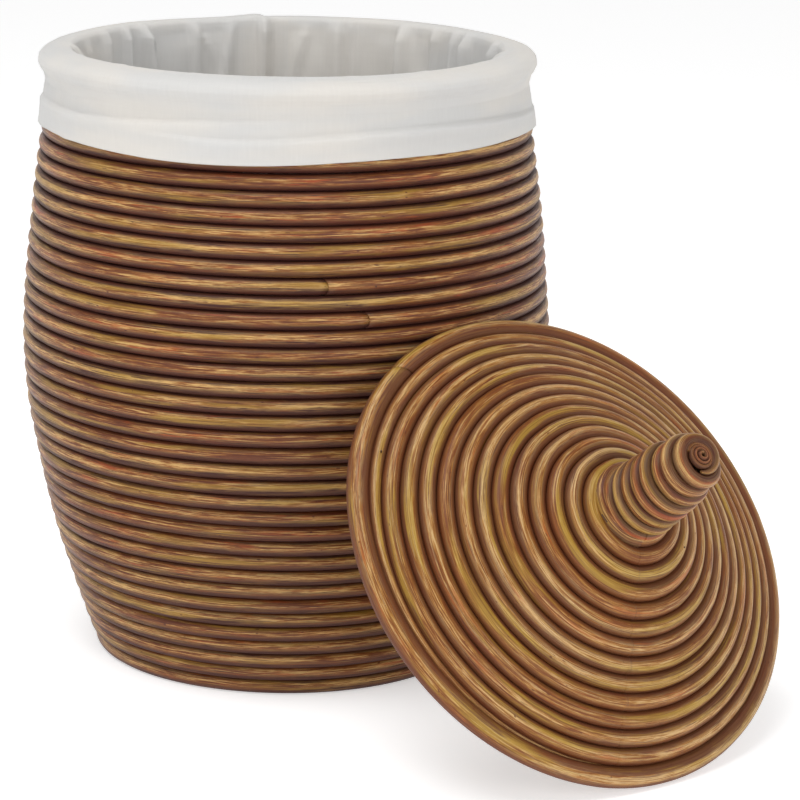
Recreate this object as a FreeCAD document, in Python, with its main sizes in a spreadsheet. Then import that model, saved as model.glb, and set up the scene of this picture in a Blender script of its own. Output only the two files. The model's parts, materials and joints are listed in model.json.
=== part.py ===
"""Coiled rattan laundry basket with a loose cotton liner, and its conical lid leaning on the wall.

Frame: millimetres, +Z up. The origin is on the floor, on the basket's own axis.
The lid is built in its own frame (axis +Z, rim ring centred on z = 0) and then leaned on the wall.
"""
import FreeCAD, Part
import math
import os

Vector = FreeCAD.Vector
Rotation = FreeCAD.Rotation
Placement = FreeCAD.Placement

doc = FreeCAD.newDocument("RattanLaundryBasket")

# ---------------------------------------------------------------- driving dimensions
DRIVING = {
    # basket wall: stacked rings of rattan pole
    "wall_height": 513.0,        # floor to the top of the highest ring
    "foot_radius": 163.0,        # outside of the wall at the floor
    "belly_radius": 225.0,       # outside of the wall at its widest
    "belly_height": 276.0,       # height of the widest point
    "mouth_radius": 197.2,       # outside of the wall at its top
    "foot_curve": 1.75,          # how late the wall turns in towards the foot
    "mouth_curve": 1.45,         # how late the wall turns in towards the mouth
    "wall_cane": 13.6,           # diameter of the wall's poles
    "cane_play": 0.03,           # least space between two rings
    # hidden structure of the basket
    "stay_count": 8,
    "stay_width": 12.0,
    "stay_thickness": 4.0,
    "batten_width": 26.0,
    "batten_thickness": 8.0,
    "base_hole": 1.2,            # radius of the hole left in the middle of the base
    "seat_gap": 0.1,             # play between pieces of one body
    # cotton liner
    "cloth": 2.0,                # thickness of the bag's wall, gathers included
    "liner_play": 0.3,           # space between the liner and what it rests on
    "bag_foot_radius": 140.0,
    "bag_shoulder": 150.0,       # height where the bag reaches its full width
    "rim_roll": 6.2,             # thickness of the folded cloth over the top ring
    "cuff_drop": 59.0,           # how far the cuff hangs below the top ring's centre
    "cuff_cloth": 3.0,
    "cuff_play": 0.9,            # space between the cuff and the rings
    # lid
    "rim_cane": 17.2,            # diameter of the lid's rim pole
    "lid_radius": 200.0,         # outside of the lid's rim ring
    "lid_cane": 13.2,
    "cone_slope": 28.0,          # degrees
    "cone_hole": 30.0,           # centre-line radius of the innermost cone ring
    "rib_count": 4,
    "rib_width": 12.0,
    "rib_thickness": 4.0,
    "locator_inset": 40.0,       # how far inside the lid's edge its locating ring stands
    # finial
    "finial_cane": 11.2,
    "finial_foot_radius": 31.0,
    "finial_neck_radius": 28.5,
    "finial_cap_radius": 24.5,
    "finial_tip_radius": 20.0,
    "curl_cane": 3.2,            # thin rattan curled into the end of the finial
    # how the lid leans
    "lean": 37.9,                # degrees between the lid's axis and the floor
    "lean_facing": -53.6,        # degrees, where the lid's axis points, seen from above
    "lean_place": -50.1,         # degrees, where the lid's centre stands, seen from above
    "lean_gap": 0.3,             # space between the lid's rim and the wall
}

sheet = doc.addObject("Spreadsheet::Sheet", "Sizes")
for row, (alias, value) in enumerate(DRIVING.items(), start=1):
    sheet.set(f"A{row}", alias)
    sheet.set(f"B{row}", str(value))
    sheet.setAlias(f"B{row}", alias)
courses = doc.addObject("Spreadsheet::Sheet", "Courses")
doc.recompute()


def size(alias):
    """A driving dimension as a plain number."""
    return float(getattr(sheet, alias))


course_rows = 0


def course(alias, value):
    """Writes one worked-out ring size into the second sheet and returns the expression that reads it."""
    global course_rows
    course_rows += 1
    courses.set(f"A{course_rows}", alias)
    courses.set(f"B{course_rows}", repr(round(value, 6)))
    courses.setAlias(f"B{course_rows}", alias)
    return f"Courses.{alias}"


nodes = []


def node(obj, label):
    """Marks an object of the document as one sub-part, with the name of its file."""
    obj.Label = label
    nodes.append(obj)
    return obj


def primitive(kind, name, **expressions):
    obj = doc.addObject(kind, name)
    for prop, expression in expressions.items():
        obj.setExpression(prop, expression)
    return obj


def boolean(kind, name, base, tool):
    obj = doc.addObject(kind, name)
    obj.Base = base
    obj.Tool = tool
    return obj


def shaped(name, shape, placement=None):
    obj = doc.addObject("Part::Feature", name)
    obj.Shape = shape
    if placement is not None:
        obj.Placement = placement
    return obj


def ring(name, radius, tube_expression, placement):
    """One closed ring of pole: radius is its centre line's, and goes through the Courses sheet."""
    torus = primitive(
        "Part::Torus", name, Radius1=course(f"{name}_radius", radius), Radius2=tube_expression
    )
    torus.Placement = placement
    return torus


def group(name, members):
    """Several separate solids that share one node."""
    obj = doc.addObject("Part::Compound", name)
    obj.Links = members
    return obj


# ---------------------------------------------------------------- outline of the wall
def wall_outside(z):
    """Outside radius of the wall at a height."""
    belly, middle = size("belly_radius"), size("belly_height")
    if z < middle:
        share = (middle - z) / middle
        return belly - (belly - size("foot_radius")) * share ** size("foot_curve")
    share = (z - middle) / (size("wall_height") - middle)
    return belly - (belly - size("mouth_radius")) * share ** size("mouth_curve")


def wall_centre(z):
    """Radius of the poles' centre line at a height."""
    return wall_outside(z) - size("wall_cane") / 2


def wall_lean(z):
    """Length of the wall per unit of height, which is 1 where it is upright."""
    step = 0.5
    slope = (wall_outside(z + step) - wall_outside(z - step)) / (2 * step)
    return math.hypot(1, slope)


def ring_heights():
    """Centre heights of the stacked rings, evenly spaced along the wall from floor to top."""
    low = size("wall_cane") / 2
    high = size("wall_height") - low
    count = 2000
    heights = [low + (high - low) * i / count for i in range(count + 1)]
    along = [0.0]
    for a, b in zip(heights, heights[1:]):
        along.append(along[-1] + math.hypot(b - a, wall_centre(b) - wall_centre(a)))
    spaces = int(along[-1] // (size("wall_cane") + size("cane_play")))
    places, at = [], 0
    for i in range(spaces + 1):
        target = along[-1] * i / spaces
        while at < count - 1 and along[at + 1] < target:
            at += 1
        share = (target - along[at]) / (along[at + 1] - along[at])
        places.append(heights[at] + share * (heights[at + 1] - heights[at]))
    return places


wall_rings = [(z, wall_centre(z)) for z in ring_heights()]
MOST_WALL_NODES = 19


def shared_out(rings, most, name, label):
    """Puts neighbouring rings together in as many nodes as there are rings for, and no more than most."""
    count = min(most, len(rings))
    for i in range(count):
        first = i * len(rings) // count
        last = (i + 1) * len(rings) // count
        node(group(f"{name}{i + 1:02d}", rings[first:last]), f"{label}_{i + 1:02d}")


def build_wall():
    """The wall's rings, two or so to a node, from the floor up."""
    rings = []
    for i, (z, radius) in enumerate(wall_rings):
        place = Placement(Vector(0, 0, z), Rotation())
        rings.append(ring(f"wall_ring_{i + 1:02d}", radius, "Sizes.wall_cane / 2", place))
    shared_out(rings, MOST_WALL_NODES, "WallCoil", "wall_coil")


# ---------------------------------------------------------------- base and stays
def base_ring_height():
    return size("batten_thickness") + size("seat_gap") + size("wall_cane") / 2


def base_ring_radii():
    """Centre-line radii of the base's rings, from the wall inwards."""
    z, reach = base_ring_height(), size("wall_cane") + size("seat_gap")
    outer = min(
        radius - math.sqrt(max(reach**2 - (z - height) ** 2, 0))
        for height, radius in wall_rings
        if abs(height - z) < reach
    )
    span = outer - (size("base_hole") + size("wall_cane") / 2)
    spaces = int(span // reach)
    return [outer - span * i / spaces for i in range(spaces + 1)]


def build_base():
    """A flat disc of rings inside the lowest rings, on two crossed battens that stand on the floor."""
    z = base_ring_height()
    rings = [
        ring(f"base_ring_{i + 1:02d}", radius, "Sizes.wall_cane / 2", Placement(Vector(0, 0, z), Rotation()))
        for i, radius in enumerate(base_ring_radii())
    ]
    node(group("BaseCoil", rings), "base_coil")

    low_z, low_radius = wall_rings[0]
    reach = size("wall_cane") / 2 + size("seat_gap")
    half_width = size("batten_width") / 2
    inside = low_radius - reach
    half_length = course("batten_half_length", math.sqrt(inside**2 - half_width**2))

    def batten(name, along_x):
        length, width = f"2 * {half_length}", "Sizes.batten_width"
        box = primitive(
            "Part::Box",
            name,
            Length=length if along_x else width,
            Width=width if along_x else length,
            Height="Sizes.batten_thickness",
        )
        box.setExpression("Placement.Base.x", f"-{half_length}" if along_x else "-Sizes.batten_width / 2")
        box.setExpression("Placement.Base.y", "-Sizes.batten_width / 2" if along_x else f"-{half_length}")
        return box

    def lap(name, bottom):
        side = "Sizes.batten_width + 2 * Sizes.seat_gap"
        box = primitive("Part::Box", name, Length=side, Width=side, Height="Sizes.batten_thickness")
        for axis in "xy":
            box.setExpression(f"Placement.Base.{axis}", "-Sizes.batten_width / 2 - Sizes.seat_gap")
        box.setExpression("Placement.Base.z", bottom)
        return box

    upper_bottom = "Sizes.batten_thickness / 2"
    lower_top = "-Sizes.batten_thickness / 2 + Sizes.seat_gap"
    node(
        boolean("Part::Cut", "LowerBatten", batten("LowerBar", True), lap("LowerLap", upper_bottom)),
        "base_batten_lower",
    )
    node(
        boolean("Part::Cut", "UpperBatten", batten("UpperBar", False), lap("UpperLap", lower_top)),
        "base_batten_upper",
    )


def build_stays():
    """Upright splints inside the wall, which the rings are pinned to."""
    low = base_ring_height() + size("wall_cane") / 2 + size("seat_gap")
    high = wall_rings[-1][0] - size("liner_play")
    seat = size("wall_cane") / 2 + size("seat_gap")
    steps = 24
    heights = [low + (high - low) * i / steps for i in range(steps + 1)]

    def face_line(offset):
        return [Vector(wall_centre(z) - offset * wall_lean(z), 0, z) for z in heights]

    def spline(points):
        curve = Part.BSplineCurve()
        curve.interpolate(points)
        return curve.toShape()

    outer = face_line(seat)
    inner = face_line(seat + size("stay_thickness"))
    outline = Part.Wire(
        [
            spline(outer),
            Part.LineSegment(outer[-1], inner[-1]).toShape(),
            spline(inner[::-1]),
            Part.LineSegment(inner[0], outer[0]).toShape(),
        ]
    )
    spread = math.degrees(size("stay_width") / size("belly_radius"))
    axis_base, axis = Vector(0, 0, 0), Vector(0, 0, 1)
    strip = Part.Face(outline)
    strip.rotate(axis_base, axis, -spread / 2)
    stay = strip.revolve(axis_base, axis, spread)
    count = int(size("stay_count"))
    stays = []
    for i in range(count):
        turn = Rotation(axis, 360 * (i + 0.5) / count)
        stays.append(shaped(f"stay_{i + 1}", stay.copy(), Placement(Vector(), turn)))
    node(group("WallStays", stays), "wall_stays")


# ---------------------------------------------------------------- cotton liner
top_height, top_radius = wall_rings[-1]


def bag_outside():
    """Outside radius of the bag below the mouth, clear of the stays where the mouth is narrowest."""
    stays = size("wall_cane") / 2 + size("seat_gap") + size("stay_thickness")
    return top_radius - stays * wall_lean(top_height - 1) - size("liner_play")


def frustum(name, low_radius, high_radius, height, bottom):
    return primitive(
        "Part::Cone",
        name,
        Radius1=low_radius,
        Radius2=high_radius,
        Height=height,
        **{"Placement.Base.z": bottom},
    )


def build_liner():
    """An open bag: floor, side, the fold over the top ring, and the cuff that hangs outside."""
    top = course("liner_fold_height", top_height)
    floor = course(
        "liner_floor",
        base_ring_height() + size("wall_cane") / 2 + size("liner_play"),
    )
    cloth, shoulder = "Sizes.cloth", "Sizes.bag_shoulder"
    bag_radius = course("bag_radius", bag_outside())
    floor_disc = primitive(
        "Part::Cylinder",
        "LinerFloor",
        Radius="Sizes.bag_foot_radius",
        Height=cloth,
        **{"Placement.Base.z": floor},
    )
    node(floor_disc, "liner_base")

    side_bottom = f"{floor} + {cloth}"
    taper = f"{shoulder} - ({side_bottom})"
    tube = f"{top} - {shoulder}"

    def bag(name, inset):
        low = frustum(
            f"{name}Low",
            f"Sizes.bag_foot_radius - {inset}",
            f"{bag_radius} - {inset}",
            taper,
            side_bottom,
        )
        high = primitive(
            "Part::Cylinder",
            f"{name}High",
            Radius=f"{bag_radius} - {inset}",
            Height=tube,
            **{"Placement.Base.z": shoulder},
        )
        return boolean("Part::Fuse", name, low, high)

    side = boolean("Part::Cut", "LinerSide", bag("BagOutside", "0"), bag("BagInside", cloth))
    node(side, "liner_side")

    # the fold is half of a ring-shaped shell round the top ring
    inner = size("wall_cane") / 2 + size("liner_play")
    outer = inner + size("rim_roll")
    centre = Vector(top_radius, 0, top_height)

    def over(radius):
        ends = [centre + Vector(side * radius, 0, 0) for side in (1, -1)]
        return Part.Arc(ends[0], centre + Vector(0, 0, radius), ends[1]).toShape()

    def foot(side):
        ends = [centre + Vector(side * radius, 0, 0) for radius in (inner, outer)]
        return Part.LineSegment(*ends).toShape()

    outline = Part.Wire(Part.__sortEdges__([over(outer), foot(-1), over(inner), foot(1)]))
    fold = Part.Face(outline).revolve(Vector(0, 0, 0), Vector(0, 0, 1), 360)
    node(shaped("LinerFold", fold), "liner_fold")

    # the cuff follows the wall's outline from the fold down
    low = top_height - size("cuff_drop")
    steps = 4
    heights = [low + (top_height - low) * i / steps for i in range(steps + 1)]

    def cuff_line(offset):
        curve = Part.BSplineCurve()
        curve.interpolate([Vector(wall_outside(z) + offset, 0, z) for z in heights])
        return curve.toShape()

    near = size("cuff_play")
    far = near + size("cuff_cloth")
    ends = [
        Part.LineSegment(
            Vector(wall_outside(z) + near, 0, z), Vector(wall_outside(z) + far, 0, z)
        ).toShape()
        for z in (heights[0], heights[-1])
    ]
    cuff_outline = Part.Wire(Part.__sortEdges__([cuff_line(near), *ends, cuff_line(far)]))
    cuff = Part.Face(cuff_outline).revolve(Vector(0, 0, 0), Vector(0, 0, 1), 360)
    node(shaped("LinerCuff", cuff), "liner_cuff")


# ---------------------------------------------------------------- lid
rim_tube = size("rim_cane") / 2
rim_centre = size("lid_radius") - rim_tube
slope = math.radians(size("cone_slope"))


def facing():
    """Unit vector of the lid's axis, from its underside out through the finial."""
    turn, rise = math.radians(size("lean_facing")), math.radians(size("lean"))
    return Vector(math.cos(rise) * math.cos(turn), math.cos(rise) * math.sin(turn), math.sin(rise))


def wall_clearance(centre, rotation):
    """Space between the lid's rim ring and the nearest ring of the wall."""
    nearest = math.inf
    for i in range(720):
        angle = math.radians(i / 2)
        around = Vector(rim_centre * math.cos(angle), rim_centre * math.sin(angle), 0)
        p = centre + rotation.multVec(around)
        for height, radius in wall_rings:
            away = math.hypot(math.hypot(p.x, p.y) - radius, p.z - height)
            nearest = min(nearest, away)
    return nearest - rim_tube - size("wall_cane") / 2


def leaned():
    """Where the lid stands: its rim on the floor below and just clear of the wall above."""
    rotation = Rotation(Vector(0, 0, 1), facing())
    height = rim_centre * math.cos(math.radians(size("lean"))) + rim_tube
    place = math.radians(size("lean_place"))
    near, far = size("foot_radius"), size("belly_radius") + 3 * size("lid_radius")
    for _ in range(40):
        out = (near + far) / 2
        centre = Vector(out * math.cos(place), out * math.sin(place), height)
        if wall_clearance(centre, rotation) < size("lean_gap"):
            near = out
        else:
            far = out
    return Placement(Vector(far * math.cos(place), far * math.sin(place), height), rotation)


lid_place = leaned()


def on_lid(height):
    """The lid's placement, moved along the lid's axis."""
    return lid_place * Placement(Vector(0, 0, height), Rotation())


def cone_radii():
    """Centre-line radii of the cone's rings, from the rim inwards."""
    reach = rim_tube + size("lid_cane") / 2 + size("seat_gap")
    outer = rim_centre - reach * math.cos(slope)
    span = (outer - size("cone_hole")) / math.cos(slope)
    spaces = int(span // (size("lid_cane") + size("seat_gap")))
    return [outer - (outer - size("cone_hole")) * i / spaces for i in range(spaces + 1)]


def cone_height(radius):
    return (rim_centre - radius) * math.tan(slope)


MOST_CONE_NODES = 13


def build_cone():
    """The rim ring and the rings that climb from it to the finial."""
    node(ring("lid_rim", rim_centre, "Sizes.rim_cane / 2", on_lid(0)), "lid_rim_ring")
    rings = [
        ring(f"cone_ring_{i + 1:02d}", radius, "Sizes.lid_cane / 2", on_lid(cone_height(radius)))
        for i, radius in enumerate(cone_radii())
    ]
    shared_out(rings, MOST_CONE_NODES, "LidCoil", "lid_coil")


def build_underside():
    """Splints that the cone's rings are pinned to, and the double ring that sits in the basket's mouth."""
    seat = size("lid_cane") / 2 + size("seat_gap")
    thick = size("rib_thickness")
    inner = size("cone_hole")
    outer = rim_centre - (rim_tube + size("seat_gap") + thick) / math.cos(slope)
    length = (outer - inner) / math.cos(slope)
    start = Vector(inner, 0, cone_height(inner)) - Vector(math.sin(slope), 0, math.cos(slope)) * (seat + thick)
    tilt = Placement(start, Rotation(Vector(0, 1, 0), size("cone_slope")))
    ribs = []
    for i in range(int(size("rib_count"))):
        rib = Part.makeBox(length, size("rib_width"), thick, Vector(0, -size("rib_width") / 2, 0))
        turn = Placement(Vector(), Rotation(Vector(0, 0, 1), 360 * (i + 0.5) / size("rib_count")))
        ribs.append(shaped(f"rib_{i + 1}", rib, lid_place * turn * tilt))
    node(group("LidRibs", ribs), "lid_ribs")

    tube = size("lid_cane") / 2
    radius = size("lid_radius") - size("locator_inset") - tube
    below_rib = (seat + thick + tube + size("seat_gap")) / math.cos(slope)
    first = cone_height(radius) - below_rib
    step = size("lid_cane") + size("seat_gap")
    rings = [
        ring(f"locator_ring_{i + 1}", radius, "Sizes.lid_cane / 2", on_lid(first - i * step))
        for i in range(2)
    ]
    node(group("LidLocator", rings), "lid_locating_ring")


def finial_rings():
    """Centre-line radius and height of each finial ring, from the cone up."""
    tube = size("finial_cane") / 2
    foot, neck = size("finial_foot_radius"), size("finial_neck_radius")
    outsides = [foot + (neck - foot) * i / 4 for i in range(5)]
    outsides += [size("finial_cap_radius")] * 2 + [size("finial_tip_radius")]
    # the first ring sits inside the top of the cone, clear of its innermost ring
    cone_top = cone_height(size("cone_hole"))
    reach = size("lid_cane") / 2 + tube + size("seat_gap")
    beside = size("cone_hole") - (outsides[0] - tube)
    places = [(outsides[0] - tube, cone_top + math.sqrt(reach**2 - beside**2))]
    for outside in outsides[1:]:
        radius, height = places[-1]
        step = size("finial_cane") + size("seat_gap")
        shift = outside - tube - radius
        places.append((radius + shift, height + math.sqrt(step**2 - shift**2)))
    return places


def build_finial():
    """Rings stacked round a turned core, closed at the end by a curl of thin rattan."""
    places = finial_rings()
    for i, (radius, height) in enumerate(places):
        node(
            ring(f"finial_ring_{i + 1}", radius, "Sizes.finial_cane / 2", on_lid(height)),
            f"finial_coil_{i + 1}",
        )
    tube = size("finial_cane") / 2
    tip_radius, tip_height = places[-1]
    core_radius = tip_radius - tube - size("seat_gap")
    bottom = cone_height(size("cone_hole")) - size("lid_cane") / 2
    curl = size("curl_cane")
    core = primitive(
        "Part::Cylinder",
        "Core",
        Radius=course("core_radius", core_radius),
        Height=course("core_height", tip_height - curl / 2 - bottom),
    )
    core.Placement = on_lid(bottom)
    node(core, "finial_core")
    outer_turn = core_radius - curl / 2
    turns = [outer_turn, outer_turn - curl - size("seat_gap") / 2]
    curls = [
        ring(f"curl_ring_{i + 1}", radius, "Sizes.curl_cane / 2", on_lid(tip_height + size("seat_gap")))
        for i, radius in enumerate(turns)
    ]
    node(group("FinialCurl", curls), "finial_curl")


build_wall()
build_base()
build_stays()
build_liner()
build_cone()
build_underside()
build_finial()
doc.recompute()

# ---------------------------------------------------------------- checks and files
for obj in doc.Objects:
    if any(state in ("Invalid", "Error") for state in obj.State):
        raise SystemExit(f"{obj.Name} failed: {obj.State}")
for obj in nodes:
    if obj.Shape.isNull() or not obj.Shape.isValid() or not obj.Shape.Solids:
        raise SystemExit(f"{obj.Label} has no valid solid")

os.makedirs("parts", exist_ok=True)
for obj in nodes:
    obj.Shape.exportStep(f"parts/{obj.Label}.step")

print(len(wall_rings), "wall rings,", len(cone_radii()), "cone rings,", len(nodes), "nodes")
print("lid centre", [round(x, 3) for x in lid_place.Base], "axis", [round(x, 5) for x in facing()])
print("lid clearance", round(wall_clearance(lid_place.Base, lid_place.Rotation), 3))
print("top ring", round(top_radius, 3), round(top_height, 3))
print("finial", [(round(r, 2), round(z, 2)) for r, z in finial_rings()])
print("cone radii", [round(r, 2) for r in cone_radii()], "top", round(cone_height(size("cone_hole")), 2))
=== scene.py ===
import bpy
import json
import math
import random
import numpy as np
from mathutils import Matrix, Vector, noise


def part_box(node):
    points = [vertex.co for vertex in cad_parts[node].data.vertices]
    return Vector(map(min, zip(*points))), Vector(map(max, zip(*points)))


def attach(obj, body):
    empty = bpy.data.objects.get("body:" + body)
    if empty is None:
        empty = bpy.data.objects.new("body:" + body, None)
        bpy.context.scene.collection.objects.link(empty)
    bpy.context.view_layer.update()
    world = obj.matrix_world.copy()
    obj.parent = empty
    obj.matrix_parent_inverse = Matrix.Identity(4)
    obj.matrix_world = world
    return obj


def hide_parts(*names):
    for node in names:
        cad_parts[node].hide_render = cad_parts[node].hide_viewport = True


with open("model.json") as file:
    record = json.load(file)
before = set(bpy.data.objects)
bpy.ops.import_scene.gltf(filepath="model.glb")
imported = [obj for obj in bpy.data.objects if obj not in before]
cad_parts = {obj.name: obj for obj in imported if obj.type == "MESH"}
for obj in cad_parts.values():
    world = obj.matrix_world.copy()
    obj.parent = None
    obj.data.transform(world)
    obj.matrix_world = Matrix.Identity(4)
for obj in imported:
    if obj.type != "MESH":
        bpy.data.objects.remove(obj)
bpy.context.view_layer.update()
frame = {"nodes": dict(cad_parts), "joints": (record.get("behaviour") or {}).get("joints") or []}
print("frame loaded")

fullTurn = 2 * math.pi


def cadPoints(node):
    # the corners of a CAD node
    mesh = frame["nodes"][node].data
    flat = np.empty(len(mesh.vertices) * 3)
    mesh.vertices.foreach_get("co", flat)
    return flat.reshape(-1, 3)


def ringSizes(radii, heights):
    # centre-line radius, height and tube radius of one ring
    return (
        (radii.min() + radii.max()) / 2,
        (heights.min() + heights.max()) / 2,
        (heights.max() - heights.min()) / 2,
    )


def ringsOnAxis(points, count):
    # the rings of one node, stacked on +Z and numbered from the lowest
    heights = points[:, 2]
    radii = np.hypot(points[:, 0], points[:, 1])
    layer = np.floor((heights - heights.min()) / (np.ptp(heights) + 1e-9) * count)
    return [ringSizes(radii[layer == i], heights[layer == i]) for i in range(count)]


def lidFrame():
    # the lid's own axes: +Z out through the knob, +X level, origin at the centre of the rim ring
    low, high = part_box("lid_rim_ring")
    pull = next(joint for joint in frame["joints"] if joint["name"] == "lid_pull")
    out = Vector(pull["axis"]).normalized()
    level = Vector((0, 0, 1)).cross(out).normalized()
    upSlope = out.cross(level)
    place = Matrix((level, upSlope, out)).transposed().to_4x4()
    place.translation = (low + high) / 2
    return place


lidPlace = lidFrame()
lidInverse = np.array(lidPlace.inverted())


def lidPoints(node):
    points = cadPoints(node)
    return points @ lidInverse[:3, :3].T + lidInverse[:3, 3]


wallNodes = sorted(name for name in frame["nodes"] if name.startswith("wall_coil_"))
wallRings = [ring for name in wallNodes for ring in ringsOnAxis(cadPoints(name), 2)]
coneNodes = sorted(name for name in frame["nodes"] if name.startswith("lid_coil_"))
coneRings = [ringsOnAxis(lidPoints(name), 1)[0] for name in coneNodes]
knobNodes = sorted(name for name in frame["nodes"] if name.startswith("finial_coil_"))
knobRings = [ringsOnAxis(lidPoints(name), 1)[0] for name in knobNodes]


# one straight blank is modelled, and each pole is a copy of it bent to its course
poleLook = {
    "sides": 16,
    "longSteps": 260,
    "shortSteps": 110,
    "uneven": 0.026,      # slow change of thickness along a pole
    "waves": 9,
    "swelling": 0.045,    # at the pole's nodes
    "swellingReach": 0.006,
    "spacing": 0.24,      # from node to node
    "eased": 0.05,        # how much a cut end is rounded off
    "blunt": 0.0016,
}


def makeBlank(steps):
    # a capped rod of radius 1 along +Z, from 0 to 1
    bpy.ops.object.select_all(action="DESELECT")
    bpy.ops.mesh.primitive_circle_add(vertices=poleLook["sides"], radius=1, fill_type="NGON")
    blank = bpy.context.object
    bpy.ops.object.mode_set(mode="EDIT")
    bpy.ops.mesh.select_all(action="SELECT")
    for _ in range(steps):
        bpy.ops.mesh.extrude_region_move(TRANSFORM_OT_translate={"value": (0, 0, 1 / steps)})
    bpy.ops.mesh.select_all(action="SELECT")
    bpy.ops.mesh.normals_make_consistent(inside=False)
    bpy.ops.mesh.faces_shade_smooth()
    bpy.ops.object.mode_set(mode="OBJECT")
    mesh = blank.data
    for face in mesh.polygons:
        face.use_smooth = len(face.vertices) == 4
    bpy.data.objects.remove(blank)
    return mesh


longBlank = makeBlank(poleLook["longSteps"])
shortBlank = makeBlank(poleLook["shortSteps"])
print("pole blanks", len(longBlank.vertices), len(shortBlank.vertices))


def bendPole(name, blank, route, length, crown=(0.0, 0.0), cut=0.0, lap=0.0, seed=0, start=None, place=None):
    # route gives, for a share of the length, the centre, the outward and upward directions and the radius;
    # crown is the angle of the pole's palest side at its two ends, with painted shade laid in the grooves away
    # from it, cut slants the ends, lap lengthens them, and start is where the pole's grain begins
    mesh = blank.copy()
    mesh.name = name
    flat = np.empty(len(mesh.vertices) * 3)
    mesh.vertices.foreach_get("co", flat)
    points = flat.reshape(-1, 3)
    around = np.arctan2(points[:, 1], points[:, 0])
    share = np.clip(points[:, 2], 0, 1) * (1 + 2 * lap) - lap + cut * np.cos(around)
    centre, outward, upward, radius = route(share)
    spokes = np.cos(around)[:, None] * outward + np.sin(around)[:, None] * upward
    bent = centre + spokes * radius[:, None]
    mesh.vertices.foreach_set("co", bent.astype(np.float32).ravel())
    if start is None:
        start = random.Random(seed).uniform(0, 60)
    facing = around - np.interp(share, [0, 1], crown)
    grain = np.stack([start + share * length, np.cos(facing), np.sin(facing)], axis=1)
    attribute = mesh.attributes.new("grain", "FLOAT_VECTOR", "POINT")
    attribute.data.foreach_set("vector", grain.astype(np.float32).ravel())
    pole = bpy.data.objects.new(name, mesh)
    bpy.context.collection.objects.link(pole)
    if place is not None:
        mesh.transform(place)
    mesh.update()
    return pole


def joinPieces(pieces, name):
    bpy.ops.object.select_all(action="DESELECT")
    for piece in pieces:
        piece.select_set(True)
    bpy.context.view_layer.objects.active = pieces[0]
    if len(pieces) > 1:
        bpy.ops.object.join()
    joined = bpy.context.object
    joined.name = name
    return joined


def paintPiece(piece, finish):
    piece.data.materials.clear()
    piece.data.materials.append(finish)


def finishPiece(piece, body, finish, slot, *nodes):
    paintPiece(piece, finish)
    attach(piece, body)
    if nodes:
        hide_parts(*nodes)


def aroundAxis(angle, radius, height):
    # centres and directions of a pole that runs round +Z
    outward = np.stack([np.cos(angle), np.sin(angle), np.zeros_like(angle)], axis=1)
    upward = np.tile([0.0, 0.0, 1.0], (len(angle), 1))
    centre = outward * radius[:, None]
    centre[:, 2] = height
    return centre, outward, upward


def wander(angle, row, seed, waves=7):
    # a slow, closed wobble round the basket, nearly the same on neighbouring rows
    dice = random.Random(seed)
    total = np.zeros_like(angle)
    for wave in range(1, waves + 1):
        strength = dice.uniform(0.5, 1) / wave**0.5
        phase = dice.uniform(0, fullTurn) + row * dice.uniform(0.2, 0.9)
        total += strength * np.sin(wave * angle + phase)
    return total / 3


def poleBody(share, length, seed, swelling=poleLook["swelling"], spacing=poleLook["spacing"]):
    # a pole is a little uneven along its length, and swells at its nodes
    dice = random.Random(seed)
    scale = 1 + poleLook["uneven"] * wander(share * fullTurn, 0, seed, poleLook["waves"])
    at = dice.uniform(0, spacing)
    while at < length:
        near = (share * length - at) / poleLook["swellingReach"]
        scale = scale + swelling * dice.uniform(0.4, 1) * np.exp(-(near**2))
        at += spacing * dice.uniform(0.7, 1.3)
    return scale


def roundedEnd(share, length, radius):
    # the cut ends are eased, so that a joint shows as a fine line
    near = np.minimum(share, 1 - share) * length
    return radius * (1 - poleLook["eased"] * np.exp(-np.clip(near, 0, None) / poleLook["blunt"]))


def paint(red, green, blue, alpha=1.0):
    # screen colour, 0 to 255, as the renderer's linear colour
    def linear(level):
        level = level / 255
        return level / 12.92 if level <= 0.04045 else ((level + 0.055) / 1.055) ** 2.4
    return (linear(red), linear(green), linear(blue), alpha)


class Level:
    # a value in a finish, which takes plain arithmetic
    def __init__(self, finish, socket):
        self.finish = finish
        self.socket = socket

    def maths(self, operation, *values):
        sockets = dict(enumerate(values))
        return self.finish.add("ShaderNodeMath", {"operation": operation}, sockets)

    def __add__(self, other):
        return self.maths("ADD", self, other)

    def __sub__(self, other):
        return self.maths("SUBTRACT", self, other)

    def __rsub__(self, other):
        return self.maths("SUBTRACT", other, self)

    def __mul__(self, other):
        return self.maths("MULTIPLY", self, other)

    __radd__ = __add__
    __rmul__ = __mul__

    def __abs__(self):
        return self.maths("ABSOLUTE", self)

    def above(self, low, high):
        # 0 below low, 1 over high, smooth between
        sockets = {"Value": self, "From Min": low, "From Max": high}
        return self.finish.add("ShaderNodeMapRange", {"interpolation_type": "SMOOTHSTEP"}, sockets)


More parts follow.
